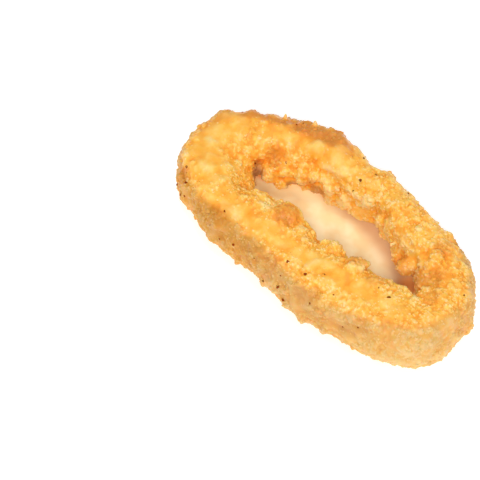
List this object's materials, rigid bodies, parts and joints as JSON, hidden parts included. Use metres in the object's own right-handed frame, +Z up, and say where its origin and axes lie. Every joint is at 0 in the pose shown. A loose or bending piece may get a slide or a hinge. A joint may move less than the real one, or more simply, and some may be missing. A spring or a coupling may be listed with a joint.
{
  "type": "breaded fried ring",
  "caption": "Oval ring of food in a craggy golden fried breading, with a long hole through its middle, lying flat.",
  "frame": {"origin": "under the middle of the ring, on the plane it rests on", "axes": "+X along the ring to its slimmer end, +Y to the side with the narrower band, +Z up through the hole"},
  "size_m": [0.0854, 0.0434, 0.0174],
  "materials": {
    "crust": "craggy fried breadcrumb, golden with browner flakes, slightly oily"
  },
  "bodies": {
    "root": {"breaded_ring": "crust"}
  },
  "joints": []
}
